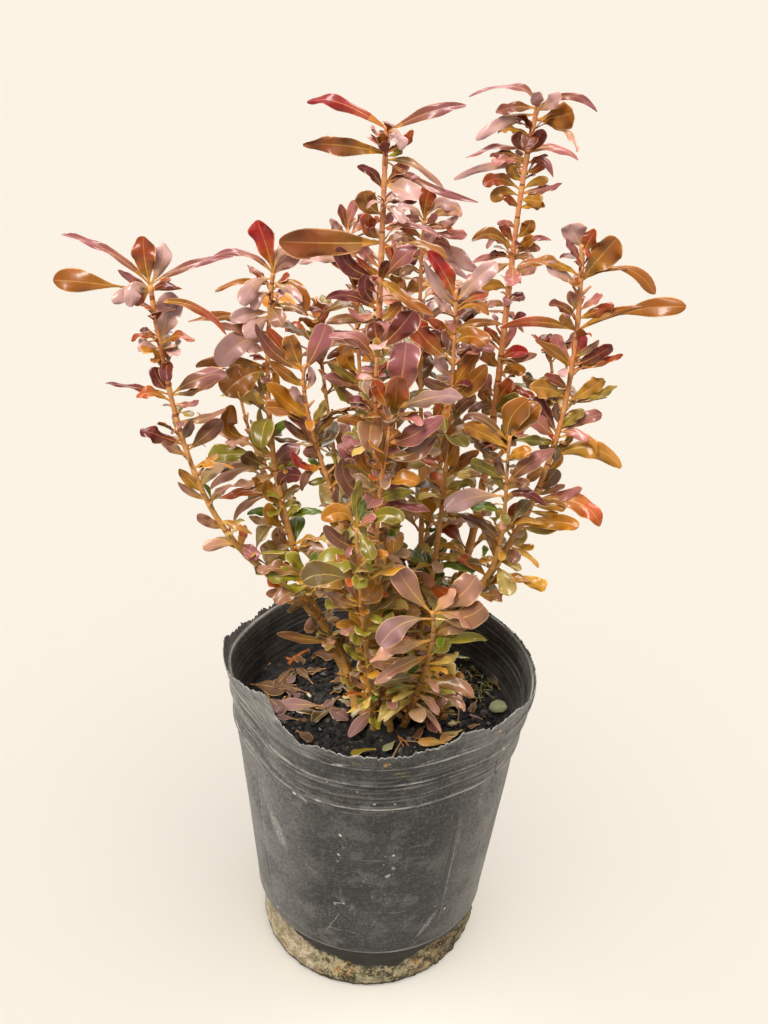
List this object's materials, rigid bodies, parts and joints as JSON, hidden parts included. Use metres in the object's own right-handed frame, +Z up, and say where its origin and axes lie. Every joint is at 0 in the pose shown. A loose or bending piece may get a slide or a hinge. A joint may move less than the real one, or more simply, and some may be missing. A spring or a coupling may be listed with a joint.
{
  "type": "potted coprosma shrub",
  "caption": "Small-leaved coprosma shrub in a soft black nursery pot: a clump of thin orange-brown stems and boughs carrying separate masses of maroon, bronze and ochre leaves.",
  "frame": {"origin": "centre of the pot's flat underside, on the surface that it stands on", "axes": "+Z up, -Y the side that the picture looks at, +X to the right in that view"},
  "size_m": [0.2429, 0.1763, 0.4056],
  "materials": {
    "pot_plastic": "matte",
    "soil_earth": "matte",
    "stem_bark": "satin",
    "foliage_leaf": "satin"
  },
  "bodies": {
    "root": {"bough_back_far_left": "stem_bark", "bough_back_far_right": "stem_bark", "bough_left_rosette": "stem_bark", "bough_right_low": "stem_bark", "foliage_back": "foliage_leaf", "foliage_back_far_left": "foliage_leaf", "foliage_back_far_right": "foliage_leaf", "foliage_back_left": "foliage_leaf", "foliage_back_right": "foliage_leaf", "foliage_centre_left_top": "foliage_leaf", "foliage_centre_lower": "foliage_leaf", "foliage_centre_middle": "foliage_leaf", "foliage_centre_right_middle": "foliage_leaf", "foliage_centre_right_top": "foliage_leaf", "foliage_centre_top": "foliage_leaf", "foliage_centre_upper": "foliage_leaf", "foliage_far_left_lower": "foliage_leaf", "foliage_far_left_middle": "foliage_leaf", "foliage_far_left_top": "foliage_leaf", "foliage_far_left_upper": "foliage_leaf", "foliage_far_right_lower": "foliage_leaf", "foliage_far_right_middle": "foliage_leaf", "foliage_far_right_top": "foliage_leaf", "foliage_far_right_upper": "foliage_leaf", "foliage_front_low_top": "foliage_leaf", "foliage_front_top": "foliage_leaf", "foliage_left_inner_lower": "foliage_leaf", "foliage_left_inner_top": "foliage_leaf", "foliage_left_lower": "foliage_leaf", "foliage_left_top": "foliage_leaf", "foliage_left_upper": "foliage_leaf", "foliage_right_inner_middle": "foliage_leaf", "foliage_right_inner_top": "foliage_leaf", "foliage_right_low": "foliage_leaf", "foliage_rosette_left": "foliage_leaf", "foliage_rosette_right": "foliage_leaf", "foliage_tall_right_lower": "foliage_leaf", "foliage_tall_right_middle": "foliage_leaf", "foliage_tall_right_top": "foliage_leaf", "foliage_tall_right_upper": "foliage_leaf", "foliage_whorl": "foliage_leaf", "pot": "pot_plastic", "soil": "soil_earth", "stem_back": "stem_bark", "stem_back_left": "stem_bark", "stem_back_right": "stem_bark", "stem_centre": "stem_bark", "stem_centre_left": "stem_bark", "stem_centre_right": "stem_bark", "stem_far_left": "stem_bark", "stem_far_right": "stem_bark", "stem_front": "stem_bark", "stem_front_low": "stem_bark", "stem_left": "stem_bark", "stem_left_inner": "stem_bark", "stem_right_inner": "stem_bark", "stem_rosette_right": "stem_bark", "stem_tall_right": "stem_bark", "stem_whorl": "stem_bark"}
  },
  "joints": []
}
